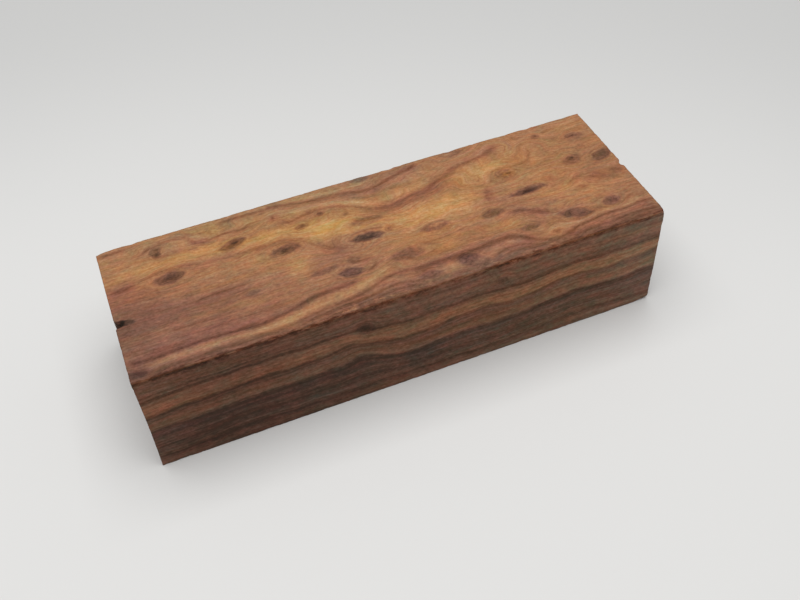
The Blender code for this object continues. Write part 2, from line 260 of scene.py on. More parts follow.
# Where a layer runs higher or lower than at the left end: its height there, and (x, height)
# along it, from the highest down. Above and below these the layers run level.
LEVEL_ABOVE = (44.0, 36.2)
LEVEL_BELOW = -6.0
LAYER_WOBBLE = 0.25
FRONT_LAYERS = (
    (28.4, ((-76, 27.6), (-60, 28.4), (-36, 28.6), (-19, 28.4), (-14, 28), (-9, 26.6), (-4, 25.6),
            (0, 25.5), (8, 26.2), (20, 26.3), (30, 25.7), (38, 25.8), (44, 26.5), (49, 26.8),
            (57, 26.2), (66, 26), (76, 26.6))),
    (21.9, ((-76, 20.8), (-66, 21.8), (-50, 22.4), (-36, 22.3), (-26, 22.3), (-19, 23.8),
            (-14, 22.1), (-8, 20), (-4, 19.1), (2, 19.1), (9, 20.3), (20, 20.8), (29, 19.6),
            (36, 19.9), (43, 21.6), (50, 22), (58, 20.3), (67, 20.9), (76, 21.8))),
    (16.1, ((-76, 15.8), (-60, 16), (-40, 16.2), (-23, 16.3), (-17, 18.1), (-13, 16.8),
            (-9, 14.8), (-5, 13.3), (0, 13), (5, 13.7), (12, 14.2), (24, 13.7), (36, 14.1),
            (42, 15.2), (49, 15.7), (54, 15.2), (61, 14.3), (68, 14.8), (76, 15.4))),
    (4.4, ((-76, 3.8), (-60, 4.4), (-48, 5.6), (-36, 4.6), (-24, 4.4), (-10, 4.2), (6, 3.8),
           (20, 3.5), (33, 3.8), (40, 4.8), (49, 5.7), (58, 5.2), (68, 4.3), (76, 4.2))),
)
FRONT_KNOTS = table(
    Knot,
    (26, 28.9, 3.6, 2.6, -30, 10, 14, 0, -5), (-14.6, 28.2, 5.4, 4, -30, 13, 16, -10, -12),
    (15.2, 31.6, 1.8, 1.4, 0, 8, 14),
)
FRONT_PATCHES = table(
    Patch,
    (-64, 8, 22, 9, -3), (62, 7, 18, 4, 3.5), (-50, 25.5, 26, 2.5, -3), (30, 25.5, 14, 2.5, -3),
    (66, 32, 10, 1.2, 5), (-40, 18, 48, 44, -4.5, 3), (-52, 18, 16, 40, -6, -5, 3),
    (-45, 1, 28, 5, -5), (-25, 10, 14, 12, -2, 0, -3), (2, 10, 6, 5, -3, 10, -4),
    (45, 18, 20, 30, 3, 0, -2), (76, 18, 16, 30, 11, 22, -10), (25, 5, 50, 9, 2, 0, -4),
)

# The saw tore fibres from the arris between top and front: (x, how badly) along it, and how
# far the tearing reaches down the front and back over the top. It is less at the very edge.
TORN_ALONG = ((-76, 0.8), (-62, 1), (-12, 0.9), (-6, 0.6), (18, 0.7), (24, 1), (38, 1),
              (46, 0.6), (76, 0.8))
TORN_DOWN, TORN_BACK, TORN_UNEVEN = 1.9, 0.8, 0.45
TORN_AT_EDGE, TORN_FULLY_FROM = 0.6, 0.8

# Behind it lies a strip of pale frayed fibres: (x, how pale), its middle and its half width.
FRAYED_ALONG = ((-76, 0.2), (-50, 0.4), (-30, 0.5), (-18, 1), (-2, 1), (8, 0.5), (20, 0.7),
                (38, 0.7), (48, 0.3), (76, 0.2))
FRAYED_AT, FRAYED_HALF = 1.3, 0.9

# The circular saw that cut the sides swung about this point, in the plane of each side.
SAW_CENTRE = (176, 113)

# The knots of the faces away from the camera.
BACK_KNOTS = table(
    Knot,
    (-47, 21.5, 7.6, 3.6, 0, 22, 36, -15), (-8, 12, 4.6, 2.4, 0, 16, 26),
    (35, 25.5, 8.6, 3.8, 0, 24, 36, 10),
)
BOTTOM_KNOTS = table(
    Knot,
    (-52, -9, 7, 3, 5, 18, 30, -15), (-8, 13, 8, 3.4, -6, 18, 34, 10),
    (39, 2, 6, 2.6, 10, 16, 26, 0, -8),
)

# The growth layers rise from the front to the back, and arch between, by these heights.
LAYER_RISE, LAYER_ARCH = 6.0, 3.0

# The waves of the layers along the back: height, length of a radian and phase.
BACK_WAVES = ((0.9, 17.0, 1.0), (0.5, 6.1, 0.0))

# How deep the figure of the top reaches down the back and down the ends.
TOP_SKIN, END_SKIN = 1.6, 2.4

# End grain looks darker than the sides, and the bottom lighter. Veins sway down the ends.
END_DARK = 0.08
END_SWAY = 1.2
BOTTOM_LIGHT = 0.05

# Mesh lines: the step in mm, and the zones (from, to, step) where the form is finer.
STEP_X, STEP_Y, STEP_Z = 0.74, 0.42, 0.62
FINE_X = ((LEFT, LEFT + 3.0, 0.36), (-4.2, -0.6, 0.40), (RIGHT - 1.4, RIGHT, 0.36))
FINE_Y = ((FRONT, FRONT + 0.9, 0.3), (-6.3, 1.3, 0.33), (BACK - 0.9, BACK, 0.3))
FINE_Z = ((BOTTOM, BOTTOM + 0.9, 0.3), (TOP - 0.9, TOP, 0.3))
TINY = 1e-6

# Large odd factors scatter the cells of a noise, so that neighbours are unlike.
CELL_FACTORS = (73856093, 19349663, 83492791)
SEED_FACTOR = 2654435761
SCATTER = ((15, 2246822519), (13, 3266489917))
LOW_32_BITS = 0xFFFFFFFF
LOW_16_BITS = 0xFFFF


def cell_value(cell, seed):
    """A fixed value from -1 to 1 for each cell."""
    key = np.bitwise_xor.reduce(cell * CELL_FACTORS, axis=-1)
    key = (key + seed * SEED_FACTOR) & LOW_32_BITS
    for shift, factor in SCATTER:
        key = ((key ^ (key >> shift)) * factor) & LOW_32_BITS
    return ((key ^ (key >> 16)) & LOW_16_BITS) / (LOW_16_BITS / 2) - 1


def lattice_noise(points, seed):
    """Smooth noise from -1 to 1 at each point, with one cell to a unit."""
    cell = np.floor(points).astype(np.int64)
    part = points - cell
    ease = part * part * (3 - 2 * part)
    total = np.zeros(points.shape[:-1])
    for corner in itertools.product((0, 1), repeat=3):
        share = np.prod(np.where(corner, ease, 1 - ease), axis=-1)
        total += cell_value(cell + corner, seed) * share
    return total


def face_noise(a, b, cell, seed, at=0.0):
    """Smooth noise over a face, with cells of this length and width."""
    return lattice_noise(np.stack((a / cell[0], b / cell[1], np.full_like(a, at)), -1), seed)


def smoothstep(low, high, value):
    share = np.clip((value - low) / (high - low), 0, 1)
    return share * share * (3 - 2 * share)


def falloff(near, far, value):
    """1 up to `near`, then smoothly down to 0 at `far`."""
    return smoothstep(-far, -near, -value)


def line_at(x, points):
    """The value at x between the points (x, value)."""
    return np.interp(x, *zip(*points))


# A vein has a core and a soft halo. For its darkness, each changes tone, plum and rust.
VEIN_SHADES = (-1.1, -2.2, 0.55)
HALO_SHADES = (-0.28, 0.65, 0.25)
HALO_SPREAD = 3.0
LINE_STEP = 0.5
VEIN_FADE, VEIN_FADE_SHARE = 4.0, 0.4
VEIN_SWELL, VEIN_SWELL_CELL = 0.3, (6, 3)


def shade(fields, mask, changes):
    """Adds changes of tone, plum and rust, in hundredths, where the mask is 1."""
    for name, change in zip(("tone", "plum", "rust"), changes):
        fields[name] += PERCENT * change * mask


def smooth_line(points, step=LINE_STEP):
    """Points about `step` apart on the smooth curve through the given ones."""
    points = np.array(points, float).reshape(-1, 2)
    padded = np.vstack((2 * points[0] - points[1], points, 2 * points[-1] - points[-2]))
    found = []
    for p0, p1, p2, p3 in zip(padded, padded[1:], padded[2:], padded[3:]):
        count = max(2, int(np.linalg.norm(p2 - p1) / step))
        t = np.arange(count)[:, None] / count
        found.append(0.5 * (2 * p1 + (p2 - p0) * t + (2 * p0 - 5 * p1 + 4 * p2 - p3) * t ** 2
                            + (3 * p1 - p0 - 3 * p2 + p3) * t ** 3))
    return np.vstack(found + [points[-1:]])


def side_and_share(a, b, line):
    """Distance to a line (positive on its left), and how far along it the nearest point is."""
    gap = (a[..., None] - line[:, 0]) ** 2 + (b[..., None] - line[:, 1]) ** 2
    nearest = gap.argmin(axis=-1)
    along = np.gradient(line, axis=0)
    along /= np.linalg.norm(along, axis=1, keepdims=True)
    side = along[nearest, 0] * (b - line[nearest, 1]) - along[nearest, 1] * (a - line[nearest, 0])
    return side, nearest / (len(line) - 1)


def add_veins(fields, a, b, veins):
    """Each vein swells and thins along its way, and fades at its ends."""
    for number, vein in enumerate(veins):
        line = smooth_line(vein.points)
        side, share = side_and_share(a, b, line)
        fade = min(VEIN_FADE_SHARE, VEIN_FADE / (len(line) * LINE_STEP))
        taper = smoothstep(0, fade, share) * smoothstep(0, fade, 1 - share)
        swell = 1 + VEIN_SWELL * face_noise(a, b, VEIN_SWELL_CELL, SEED, number)
        away = side / (np.where(side > 0, vein.left, vein.right) * swell)
        core = np.exp(-(away ** 2)) * taper
        halo = np.exp(-((away / HALO_SPREAD) ** 2)) * taper
        shade(fields, vein.dark * core, VEIN_SHADES)
        shade(fields, vein.dark * halo, HALO_SHADES)
        shade(fields, core, (0, vein.plum, 0))


# The outline of a patch wanders: the cells of a coarse and of a fine noise, and how far each
# shifts it along and across.
PATCH_CELLS = ((5, 3), (5 / 2.3, 3 / 2.3))
PATCH_SHIFTS = ((1.6, 0.8), (0.8, 0.5))
PATCH_SEEDS = ((SEED + 8, SEED + 9), (SEED + 10, SEED + 12))
PATCH_EDGE = 1.3


def wander(a, b, shifts, seeds):
    parts = zip(shifts, PATCH_CELLS, seeds)
    return sum(shift * face_noise(a, b, cell, seed) for shift, cell, seed in parts)


def add_patches(fields, a, b, patches):
    """Soft patches with an uneven outline."""
    moved = [place + wander(a, b, shifts, seeds)
             for place, shifts, seeds in zip((a, b), PATCH_SHIFTS, PATCH_SEEDS)]
    for patch in patches:
        away = ((moved[0] - patch.x) / patch.rx) ** 2 + ((moved[1] - patch.y) / patch.ry) ** 2
        shade(fields, np.exp(-(away ** PATCH_EDGE)), (patch.tone, patch.plum, patch.rust))


# A knot is measured in its own half sizes: where its body and its heart fade, and how far its
# rings reach.
KNOT_REACH = 2.0
RINGS_FADE = 1.3
BODY_FADE = (0.52, 1.52)
HEART_FADE = (0.10, 0.80)
HEART_LEAN, HEART_OFF = 0.25, 0.12
HEART_HUE = 0.6
OUTLINE_LENGTH = 0.85
LENS_POWER = 1.6
RAGGED, RAGGED_CELL = 0.18, (1.25, 0.625)


def knot_axes(knot, a, b):
    turn = math.radians(knot.turn)
    da, db = a - knot.x, b - knot.y
    along = (da * math.cos(turn) + db * math.sin(turn)) / (knot.length / 2)
    across = (db * math.cos(turn) - da * math.sin(turn)) / (knot.width / 2)
    return along, across


def lens(along, across, length_share=1.0):
    """Distance from the middle of a lens that comes to a point at both ends."""
    return np.sqrt(length_share * along ** 2 + np.abs(across) ** LENS_POWER)


def add_knots(fields, a, b, knots):
    """Each knot is a pointed lens with a ragged outline, shaded from its rim to its heart."""
    for knot in knots:
        along, across = knot_axes(knot, a, b)
        ragged = RAGGED * face_noise(a, b, RAGGED_CELL, SEED + 1, knot.x)
        reach = lens(along, across, OUTLINE_LENGTH) + ragged
        lean = HEART_LEAN * math.sin(3 * knot.x + knot.y)
        body = falloff(*BODY_FADE, reach)
        heart = falloff(*HEART_FADE, lens(along - lean, across - HEART_OFF) + ragged)
        body_hue = 1 - HEART_HUE
        shade(fields, body, (-knot.rim, body_hue * knot.plum, body_hue * knot.rust))
        shade(fields, heart, (knot.rim - knot.heart, HEART_HUE * knot.plum, HEART_HUE * knot.rust))
        fields["knot"] = np.maximum(fields["knot"], KNOT_REACH - reach)
        fields["rim"] += PERCENT * knot.rim * falloff(RINGS_FADE, KNOT_REACH, reach)


# How far around a knot the grain parts, in its half sizes, and how strongly.
PARTED_ALONG, PARTED_ACROSS = 1.15, 1.6
PARTED = 0.85

# How far off a vein the grain still runs with it, and how easily it lets go.
FOLLOW_ALONG, FOLLOW_ACROSS = 3.5, 2.2
FOLLOW_STEP = 2.5
FOLLOW_EASE = 0.35
STEEPEST = 0.8


def spread_round_knots(across_place, a, b, knots):
    """Moves the grain coordinate so that its lines part around each knot."""
    for knot in knots:
        along, across = knot_axes(knot, a, b)
        pull = np.exp(-(along / PARTED_ALONG) ** 2 - (across / PARTED_ACROSS) ** 2)
        across_place = across_place - (b - knot.y) * PARTED * pull
    return across_place


def follow_veins(a, b, veins):
    """A grain coordinate that is level along each vein, so that the fibres run with it."""
    shift = np.zeros_like(a)
    total = np.full_like(a, FOLLOW_EASE)
    for vein in veins:
        line = smooth_line(vein.points, step=FOLLOW_STEP)
        level = line[:, 1].mean()
        if np.ptp(line[:, 0]) < STEEPEST * np.ptp(line[:, 1]):
            continue
        for x, y in line:
            weight = np.exp(-((a - x) / FOLLOW_ALONG) ** 2 - ((b - y) / FOLLOW_ACROSS) ** 2)
            shift += weight * (level - y)
            total += weight
    return b + shift / total


SHADES = ("tone", "plum", "rust", "knot", "rim", "torn", "frayed", "banded")


def new_fields(tone, banded, layer, grain, saw):
    """The fields of a face before its figure is added."""
    fields = {name: np.zeros_like(layer) for name in SHADES}
    fields["tone"] += tone
    fields["banded"] += banded
    fields.update(layer=layer, grain=np.stack(grain, -1), saw=saw)
    return fields


def mixed(first, second, share):
    """The fields of `first`, with the shades of `second` where share is 1."""
    shades = {name: first[name] * (1 - share) + second[name] * share for name in SHADES}
    return {**first, **shades}


def saw_strokes(a, b):
    """The place across and along the strokes that the circular saw left on a side."""
    from_centre = np.stack((a - SAW_CENTRE[0], b - SAW_CENTRE[1]), -1)
    radius = np.linalg.norm(from_centre, axis=-1)
    angle = np.arctan2(from_centre[..., 1], from_centre[..., 0])
    return np.stack((radius, angle * SAW_CENTRE[0], np.zeros_like(a)), -1)


def torn_share(x, from_arris, reach):
    level = np.zeros_like(x)
    uneven = face_noise(x, level, (2.4, 1), SEED + 13)
    uneven += 0.6 * face_noise(x, level, (0.9, 1), SEED + 14)
    end = reach * (1 + TORN_UNEVEN * uneven)
    from_edge = TORN_AT_EDGE + (1 - TORN_AT_EDGE) * smoothstep(0.0, TORN_FULLY_FROM, from_arris)
    return line_at(x, TORN_ALONG) * falloff(0.5 * end, end, from_arris) * from_edge


def layer_height(x, z):
    """The height that a point of the front would have at the left end, along its layer."""
    levels = list(LEVEL_ABOVE)
    lines = [np.full_like(x, level) for level in LEVEL_ABOVE]
    for number, (level, points) in enumerate(FRONT_LAYERS):
        wobble = LAYER_WOBBLE * np.sin(x / 2.3 + 2 * number) * np.sin(x / 7.0 + number)
        levels.append(level)
        lines.append(line_at(x, points) + wobble)
    levels.append(LEVEL_BELOW)
    lines.append(np.full_like(x, LEVEL_BELOW))
    height = np.zeros_like(x)
    for upper, lower, upper_line, lower_line in zip(levels, levels[1:], lines, lines[1:]):
        share = (z - lower_line) / (upper_line - lower_line)
        between = (share >= 0) & (share < 1)
        height = np.where(between, lower + share * (upper - lower), height)
    return height


def back_layer(x, z):
    wave = sum(height * np.sin(x / length + phase) for height, length, phase in BACK_WAVES)
    return z + LAYER_RISE + wave * (z / TOP)


def inner_layer(x, y, z):
    """The growth layer between the front and the back, which arches most at the bottom."""
    share = (y - FRONT) / WIDTH
    arch = LAYER_ARCH * 4 * share * (1 - share) * (1 - 0.5 * z / TOP)
    return layer_height(x, z) * (1 - share) + back_layer(x, z) * share - arch


def curled(x, y):
    """How far the fibres of the top curl out of line."""
    curl = face_noise(x, y, (8, 4), SEED + 15) + 0.5 * face_noise(x, y, (3.5, 1.8), SEED + 16)
    return CURL * curl * smoothstep(*CURLY, y + CURLY_SLANT * x)


def top_fields(x, y, z):
    across = spread_round_knots(follow_veins(x, y, TOP_VEINS), x, y, TOP_KNOTS) + curled(x, y)
    start, end, depth = TOP_FRONT_STRIP
    tone = np.interp(y, (FRONT, BACK), TOP_TONE) - depth * falloff(end, start, y)
    fields = new_fields(tone, 0.0, np.zeros_like(x), (x, across, z), saw_strokes(x, y))
    fields["torn"] += torn_share(x, y - FRONT, TORN_BACK)
    strip = np.exp(-(((y - FRONT - FRAYED_AT) / FRAYED_HALF) ** 2))
    fields["frayed"] += line_at(x, FRAYED_ALONG) * strip
    add_patches(fields, x, y, TOP_PATCHES)
    add_veins(fields, x, y, TOP_VEINS)
    add_knots(fields, x, y, TOP_KNOTS)
    return fields


def side_fields(x, y, layer, saw):
    """Fields of a side that is cut across the growth layers."""
    return new_fields(SIDE_TONE, 1.0, layer, (x, y, layer), saw)


def front_fields(x, y, z):
    layer = spread_round_knots(layer_height(x, z), x, z, FRONT_KNOTS)
    fields = side_fields(x, y, layer, saw_strokes(x, z))
    fields["torn"] += torn_share(x, TOP - z, TORN_DOWN)
    add_patches(fields, x, z, FRONT_PATCHES)
    add_knots(fields, x, z, FRONT_KNOTS)
    return fields


def back_fields(x, y, z):
    layer = spread_round_knots(back_layer(x, z), x, z, BACK_KNOTS)
    fields = side_fields(x, y, layer, saw_strokes(-x, z))
    add_knots(fields, x, z, BACK_KNOTS)
    return mixed(fields, top_fields(x, y, z), np.exp(-(TOP - z) / TOP_SKIN))


def end_fields(x, y, z):
    sway = END_SWAY * (np.sin(z / 5.0) - np.sin(TOP / 5.0))
    fields = side_fields(x, y, inner_layer(x, y, z), saw_strokes(y, z))
    fields = mixed(fields, top_fields(x, y + sway, z), np.exp(-(TOP - z) / END_SKIN))
    fields["tone"] -= END_DARK
    return fields


def bottom_fields(x, y, z):
    layer = inner_layer(x, y, z) + 0.9 * face_noise(x, y, (26, 7), SEED + 2)
    across = spread_round_knots(y + 0.6 * np.sin(x / 11.0) + 1.4 * layer, x, y, BOTTOM_KNOTS)
    tone = SIDE_TONE + BOTTOM_LIGHT
    fields = new_fields(tone, 1.0, layer, (x, across, z), saw_strokes(x, -y))
    add_knots(fields, x, y, BOTTOM_KNOTS)
    return fields


# The faces: the axis that each lies across and the end of it, the turn that makes its grid
# face out, the axes that it is unrolled along, its corner on the UV sheet, and its fields.
Face = namedtuple("Face", "axis end turn unrolled corner fields")
FACES = (
    Face(2, -1, 1, [0, 1], (1, 1), top_fields),
    Face(2, 0, -1, [0, 1], (1, 129), bottom_fields),
    Face(1, 0, 1, [0, 2], (1, 53), front_fields),
    Face(1, -1, -1, [0, 2], (1, 91), back_fields),
    Face(0, -1, 1, [2, 1], (155, 53), end_fields),
    Face(0, 0, -1, [2, 1], (155, 1), end_fields),
)
UV_SHEET_MM = 192.0


def grid_lines(low, high, step, fine_zones):
    """Places of the mesh lines across one side, closer in the fine zones."""
    lines = [low]
    while lines[-1] < high - TINY:
        here = lines[-1] + TINY
        fine = [zone_step for start, end, zone_step in fine_zones if start <= here < end]
        lines.append(lines[-1] + min(fine, default=step))
    lines = np.array(lines)
    return low + (lines - low) * (high - low) / (lines[-1] - low)


def face_grid(face, axes):
    """One face of the box, as a grid of (i, j, k) that faces out."""
    lines = [np.arange(len(axis)) for axis in axes]
    lines[face.axis] = lines[face.axis][[face.end]]
    grid = np.stack(np.meshgrid(*lines, indexing="ij"), -1)
    return np.squeeze(grid, axis=face.axis)[:, ::face.turn]


def numbered_faces():
    """Each face as a grid of point numbers, and the places of the points on the plain box."""
    axes = (grid_lines(LEFT, RIGHT, STEP_X, FINE_X), grid_lines(FRONT, BACK, STEP_Y, FINE_Y),
            grid_lines(BOTTOM, TOP, STEP_Z, FINE_Z))
    grids = [face_grid(face, axes) for face in FACES]
    keys = np.concatenate([grid.reshape(-1, 3) for grid in grids])
    keys, numbers = np.unique(keys, axis=0, return_inverse=True)
    ends = np.cumsum([grid[..., 0].size for grid in grids])
    parts = np.split(numbers.reshape(-1), ends[:-1])
    places = np.stack([axis[keys[:, n]] for n, axis in enumerate(axes)], -1)
    return [part.reshape(grid.shape[:2]) for part, grid in zip(parts, grids)], places


def quads_of(numbers):
    corners = (numbers[:-1, :-1], numbers[1:, :-1], numbers[1:, 1:], numbers[:-1, 1:])
    return np.stack(corners, -1).reshape(-1, 4)


# How deep below the box the solid's surface is looked for, and from how far outside.
RAY_REACH = 1.5
RAY_START = 1.0
WEAR_ROUNDS = 2

# The small relief: fibres, saw strokes, nicks in the arrises, and the bow of the left end.
FIBRE_RELIEF = 0.035
SAW_RELIEF = 0.03
SAW_PITCH = 2.1
ARRIS_NICK = 0.16
ARRIS_REACH = 0.5
TORN_NICK = 2.6
TORN_ZONE = 1.5
END_BOW = 0.28
END_BOW_REACH = 3.0
ON_FACE = 0.01


def outward(places):
    """The way out of the box at each point, turning smoothly over the arrises."""
    away = places - np.clip(places, LOW + RAY_REACH, HIGH - RAY_REACH)
    return away / np.linalg.norm(away, axis=1, keepdims=True)


def depths_to_solid(places, ways):
    """How far below each point of the box the solid's own surface lies."""
    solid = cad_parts[NODE].data
    corners = [vertex.co / MM for vertex in solid.vertices]
    tree = BVHTree.FromPolygons(corners, [tuple(face.vertices) for face in solid.polygons])
    depths = np.zeros(len(places))
    for index, (place, way) in enumerate(zip(places, ways)):
        way = Vector(way)
        hit = tree.ray_cast(Vector(place) + way * RAY_START, -way)
        if hit[0] is not None:
            depths[index] = hit[3] - RAY_START
    return depths


def worn(values, quads):
    """Each value drawn towards its neighbours' mean."""
    sides = np.concatenate([quads[:, [n, (n + 1) % 4]] for n in range(4)])
    first, second = np.unique(np.sort(sides, axis=1), axis=0).T
    size = len(values)
    count = np.bincount(first, minlength=size) + np.bincount(second, minlength=size)
    for _ in range(WEAR_ROUNDS):
        total = np.bincount(first, values[second], size)
        total += np.bincount(second, values[first], size)
        values = 0.5 * values + 0.5 * total / count
    return values


def fibre_depth(places):
    coarse = lattice_noise(places / (7, 0.9, 0.9), SEED + 3)
    fine = lattice_noise(places / (3, 0.55, 0.55), SEED + 4)
    return FIBRE_RELIEF * (1.2 + coarse + 0.6 * fine)


def saw_depth(places):
    """Low waves on all faces but the top, which was sanded."""
    x, y, z = places.T
    on_end = np.abs(x) > RIGHT - ON_FACE
    unsanded = on_end | (np.abs(y) > BACK - ON_FACE) | (z < BOTTOM + ON_FACE)
    phase = np.where(on_end, y, x) + 1.5 * np.sin(z / 14)
    return SAW_RELIEF * (0.5 + 0.5 * np.sin(2 * math.pi * phase / SAW_PITCH)) * unsanded


def nick_depth(places):
    """Nicks along the arrises, deepest where the saw tore the fibres."""
    x, y, z = places.T
    from_faces = np.sort(np.minimum(places - LOW, HIGH - places), axis=1)
    arris = np.exp(-from_faces[:, 1] / ARRIS_REACH)
    torn_zone = (y < FRONT + TORN_ZONE) & (z > TOP - TORN_ZONE)
    arris *= 1 + TORN_NICK * line_at(x, TORN_ALONG) * torn_zone
    nick = np.clip(lattice_noise(places / (2.2, 1.1, 1.1), SEED + 5) - 0.05, 0, 1)
    small_nick = np.clip(lattice_noise(places / (0.9, 0.7, 0.7), SEED + 6), 0, 1)
    return ARRIS_NICK * arris * (nick + 0.4 * small_nick)


def bow_of_left_end(places):
    """The saw left this end a little hollow across its thickness."""
    across = 2 * (places[:, 2] - BOTTOM) / (TOP - BOTTOM) - 1
    near_end = np.clip(1 - (places[:, 0] - LEFT) / END_BOW_REACH, 0, 1)
    return END_BOW * (1 - across ** 2) * near_end


def fine_surface(places, quads):
    """The points of the box, moved in to the solid's surface and given their fine relief."""
    ways = outward(places)
    depth = worn(depths_to_solid(places, ways), quads)
    depth += fibre_depth(places) + saw_depth(places) + nick_depth(places)
    surface = places - ways * depth[:, None]
    surface[:, 0] += bow_of_left_end(places)
    return surface


def corner_values(grids, places):
    """The fields and the UV places at every corner of every quad."""
    fields, uv = {}, []
    for face, numbers in zip(FACES, grids):
        own = places[numbers]
        corners = quads_of(np.arange(numbers.size).reshape(numbers.shape)).reshape(-1)
        for name, values in face.fields(*np.moveaxis(own, -1, 0)).items():
            fields.setdefault(name, []).append(values.reshape(numbers.size, -1)[corners])
        unrolled = own[..., face.unrolled] - LOW[face.unrolled] + face.corner
        uv.append(unrolled.reshape(-1, 2)[corners] / UV_SHEET_MM)
    return {name: np.concatenate(parts) for name, parts in fields.items()}, np.concatenate(uv)


def add_object(name, data):
    item = bpy.data.objects.new(name, data)
    bpy.context.scene.collection.objects.link(item)
    return item


def make_block():
    grids, places = numbered_faces()
    quads = np.concatenate([quads_of(numbers) for numbers in grids])
    fields, uv = corner_values(grids, places)
    mesh = bpy.data.meshes.new("ironwood")
    mesh.from_pydata((fine_surface(places, quads) * MM).tolist(), [], quads.tolist())
    for name, values in fields.items():
        kind, key = ("FLOAT_VECTOR", "vector") if values.shape[1] == 3 else ("FLOAT", "value")
        attribute = mesh.attributes.new(name, kind, "CORNER")
        attribute.data.foreach_set(key, values.astype(np.float32).reshape(-1))
    uv_map = mesh.uv_layers.new(name="OFBake")
    uv_map.data.foreach_set("uv", uv.astype(np.float32).reshape(-1))
    mesh.shade_smooth()
    return add_object("ironwood_block_dressed", mesh)


class Graph:
    """Short ways to add shader nodes to one material."""

    def __init__(self, material):
        material.use_nodes = True
        self.links = material.node_tree.links
        self.nodes = material.node_tree.nodes
        self.shader = self.nodes["Principled BSDF"]

    def fill(self, node, sources):
        """Links each input of a node to an output, or sets it to a plain value."""
        for key, source in sources.items():
            if isinstance(source, (int, float, tuple)):
                node.inputs[key].default_value = source
            else:
                self.links.new(source, node.inputs[key])

    def add(self, kind, sources, **settings):
        """Adds a node with these inputs and settings, and gives its outputs."""
        node = self.nodes.new("ShaderNode" + kind)
        for name, value in settings.items():
            setattr(node, name, value)
        self.fill(node, sources)
        return node.outputs

    def attribute(self, name, output="Fac"):
        return self.add("Attribute", {}, attribute_name=name)[output]

    def object_place(self):
        return self.add("TexCoord", {})["Object"]

    def math(self, operation, *values):
        return self.add("Math", dict(enumerate(values)), operation=operation)[0]

    def times(self, first, second):
        return self.math("MULTIPLY", first, second)

    def plus(self, total, value, strength=1.0):
        """A total, with a value added as strongly as given."""
        return self.math("MULTIPLY_ADD", value, strength, total)

    def centred(self, value):
        return self.math("SUBTRACT", value, 0.5)

    def stretch(self, vector, scale, offset=(0.0, 0.0, 0.0)):
        sources = {0: vector, 1: scale, 2: offset}
        return self.add("VectorMath", sources, operation="MULTIPLY_ADD")[0]

    def distance(self, vector, place):
        return self.add("VectorMath", {0: vector, 1: place}, operation="DISTANCE")["Value"]

    def noise(self, kind, place):
        """A noise of one kind, stretched along the first axis of the place."""
        place = self.stretch(place, (kind.along, kind.across, kind.across), kind.offset)
        return self.add("TexNoise", {"Vector": place, "Scale": 1.0, "Detail": kind.detail,
                                     "Roughness": kind.rough, "Distortion": kind.distortion})["Fac"]

    def span(self, value, low, high, out_low=0.0, out_high=1.0):
        """Goes smoothly from out_low to out_high while the value goes from low to high."""
        sources = {"Value": value, "From Min": low, "From Max": high,
                   "To Min": out_low, "To Max": out_high}
        return self.add("MapRange", sources, interpolation_type="SMOOTHSTEP")["Result"]

    def ramp(self, value, stops):
        node = self.nodes.new("ShaderNodeValToRGB")
        elements = node.color_ramp.elements
        while len(elements) < len(stops):
            elements.new(0.5)
        for element, (place, colour) in zip(elements, stops):
            element.position = place
            element.color = (*colour, 1.0)
        self.fill(node, {"Fac": value})
        return node.outputs["Color"]

    def curve(self, value, points):
        """Follows straight lines between the points (value, height)."""
        node = self.nodes.new("ShaderNodeFloatCurve")
        line = node.mapping.curves[0]
        low, high = points[0][0], points[-1][0]
        while len(line.points) < len(points):
            line.points.new(0.5, 0.5)
        for point, (place, height) in zip(line.points, points):
            point.location = ((place - low) / (high - low), height)
            point.handle_type = "VECTOR"
        node.mapping.update()
        self.fill(node, {"Value": self.plus(-low / (high - low), value, 1 / (high - low))})
        return node.outputs["Value"]

    def blend(self, share, first, second, kind="MIX"):
        node = self.nodes.new("ShaderNodeMix")
        node.data_type = "RGBA"
        node.blend_type = kind
        colours = {socket.name: number for number, socket in enumerate(node.inputs)
                   if socket.type == "RGBA"}
        self.fill(node, {"Factor": share, colours["A"]: first, colours["B"]: second})
        return [socket for socket in node.outputs if socket.type == "RGBA"][0]


WOOD_TONES = (
    (0.00, (0.016, 0.010, 0.007)),
    (0.25, (0.062, 0.026, 0.016)),
    (0.42, (0.127, 0.055, 0.031)),
    (0.53, (0.182, 0.079, 0.044)),
    (0.62, (0.237, 0.106, 0.053)),
    (0.71, (0.298, 0.141, 0.065)),
    (0.80, (0.360, 0.184, 0.080)),
    (1.00, (0.500, 0.300, 0.140)),
)

# Noises of the wood: cells to a mm along and across the grain, detail, roughness, the place
# of the block in the noise, and how strongly it works on the top and on the sides.
Noise = namedtuple("Noise", "along across detail rough offset top side distortion",
                   defaults=(0.0, 0.0, 0.0))
BROAD = Noise(0.05, 0.45, 3.0, 0.55, (0, 0, 0), 0.14, 0.12)
MOTTLE = Noise(0.28, 0.62, 3.0, 0.60, (7, 3, 1), 0.22, 0.10)
STREAKS = Noise(0.16, 1.7, 3.0, 0.60, (14, 6, 2), 0.27, 0.33)
LINES = Noise(0.012, 1.5, 2.0, 0.50, (21, 9, 3), 0.12, 0.34)
SPECKLE = Noise(0.90, 1.5, 2.0, 0.65, (9, 1, 5), 0.34, 0.42)
STROKES = Noise(1.15, 0.03, 1.0, 0.50, (0, 0, 5), 0.04, 0.12)
PLUMMY = Noise(0.20, 0.60, 4.0, 0.65, (3, 9, 1), 0.45, 0.12)
RUSTY = Noise(0.22, 0.50, 4.0, 0.65, (1, 6, 3), 0.80, 1.24)
LEVELS = Noise(0.045, 0.30, 3.0, 0.55, (8, 4, 6))
TORN_SPOTS = Noise(0.30, 0.8, 4.0, 0.7, (5, 2, 2))
